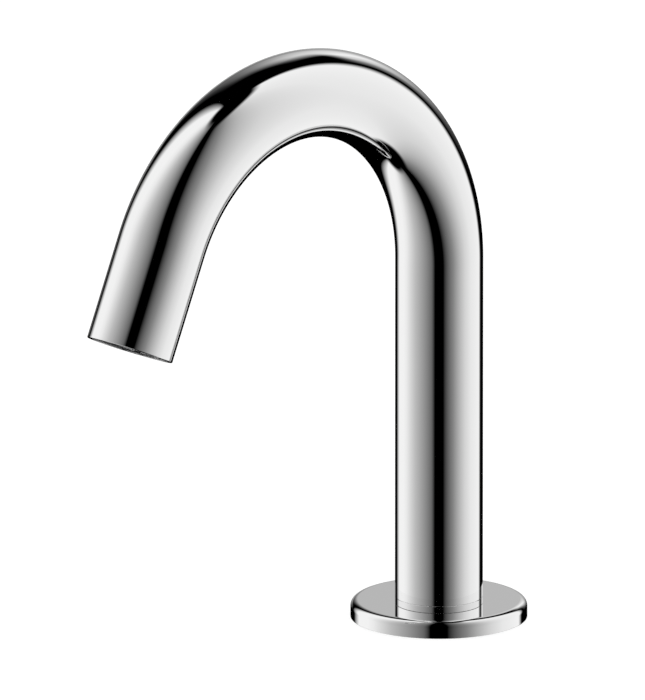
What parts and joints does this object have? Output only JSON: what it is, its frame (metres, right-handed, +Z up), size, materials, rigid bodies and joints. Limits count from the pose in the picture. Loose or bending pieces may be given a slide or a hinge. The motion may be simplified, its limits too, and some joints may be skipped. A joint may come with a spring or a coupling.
{
  "type": "sensor tap",
  "caption": "Touch-free basin tap: one bent tube on a round flange, with an aerator and presence sensor in its outlet and a latching pilot valve in its foot.",
  "frame": {"origin": "centre of the foot's underside, on the deck and on the column's axis", "axes": "+Z up along the column, the spout reaches out along -Y, X across"},
  "size_m": [0.0604, 0.1912, 0.2106],
  "materials": {
    "polished_chrome": "mirror-bright plated brass",
    "plated_brass": "plated turned brass",
    "seam_ring": "grey moulded slip ring",
    "seal_rubber": "black elastomer",
    "stainless": "turned stainless steel",
    "brass_fitting": "turned brass",
    "carrier_plastic": "black glass-filled plastic",
    "aerator_plastic": "light grey moulded plastic",
    "sensor_dark": "smoked infrared-clear plastic",
    "housing_black": "black plastic",
    "circuit_green": "coated circuit board",
    "optic_plastic": "tinted lens resin",
    "led_red": "red lens resin",
    "coil_copper": "enamelled copper wire",
    "magnet_ferrite": "sintered magnet",
    "coil_plastic": "natural glass-filled plastic",
    "hose_plastic": "drinking-water hose",
    "cable_black": "black cable jacket"
  },
  "bodies": {
    "tap_body": {"spout_tube": "polished_chrome", "base_flange": "polished_chrome", "foot_body": "plated_brass", "slip_ring": "seam_ring", "spout_seal": "seal_rubber", "flange_seal": "seal_rubber", "flange_clip": "stainless", "deck_gasket": "seal_rubber", "spout_screw": "stainless", "cable_grommet": "seal_rubber", "inlet_strainer": "stainless", "channel_plug": "brass_fitting", "valve_diaphragm": "seal_rubber", "valve_bonnet": "carrier_plastic", "bonnet_seal": "seal_rubber", "core_tube": "stainless", "plunger_spring": "stainless", "fixed_core": "stainless", "latch_magnet": "magnet_ferrite", "coil_bobbin": "coil_plastic", "coil_winding": "coil_copper", "solenoid_can": "stainless", "coil_nut": "stainless", "solenoid_lead": "cable_black", "hose_tails": "brass_fitting", "water_hose": "hose_plastic", "hose_ferrules": "stainless", "outlet_carrier": "carrier_plastic", "carrier_seal": "seal_rubber", "carrier_screw": "stainless", "aerator_housing": "polished_chrome", "aerator_washer": "seal_rubber", "flow_regulator": "aerator_plastic", "regulator_o_ring": "seal_rubber", "jet_plate": "aerator_plastic", "honeycomb_insert": "aerator_plastic", "sensor_window": "sensor_dark", "window_gasket": "seal_rubber", "sensor_housing": "housing_black", "sensor_board": "circuit_green", "ir_emitter": "optic_plastic", "ir_receiver": "optic_plastic", "status_led": "led_red", "sensor_cable": "cable_black", "cable_boot": "seal_rubber"},
    "plunger": {"pilot_plunger": "stainless", "plunger_pad": "seal_rubber"},
    "diaphragm_centre": {"diaphragm_plate": "coil_plastic"}
  },
  "joints": [
    {"name": "plunger_lift", "type": "slide", "parent": "tap_body", "child": "plunger", "axis": [0, 0, 1], "range_m": [0, 0.002], "stiffness_N_per_m": 250, "springref_m": -0.002, "deforming": ["plunger_spring"]},
    {"name": "diaphragm_lift", "type": "slide", "parent": "tap_body", "child": "diaphragm_centre", "axis": [0, 0, 1], "range_m": [0, 0.0012], "deforming": ["valve_diaphragm"]}
  ],
  "couplings": [
    {"joint": "diaphragm_lift", "follows": "plunger_lift", "ratio": 0.6}
  ]
}
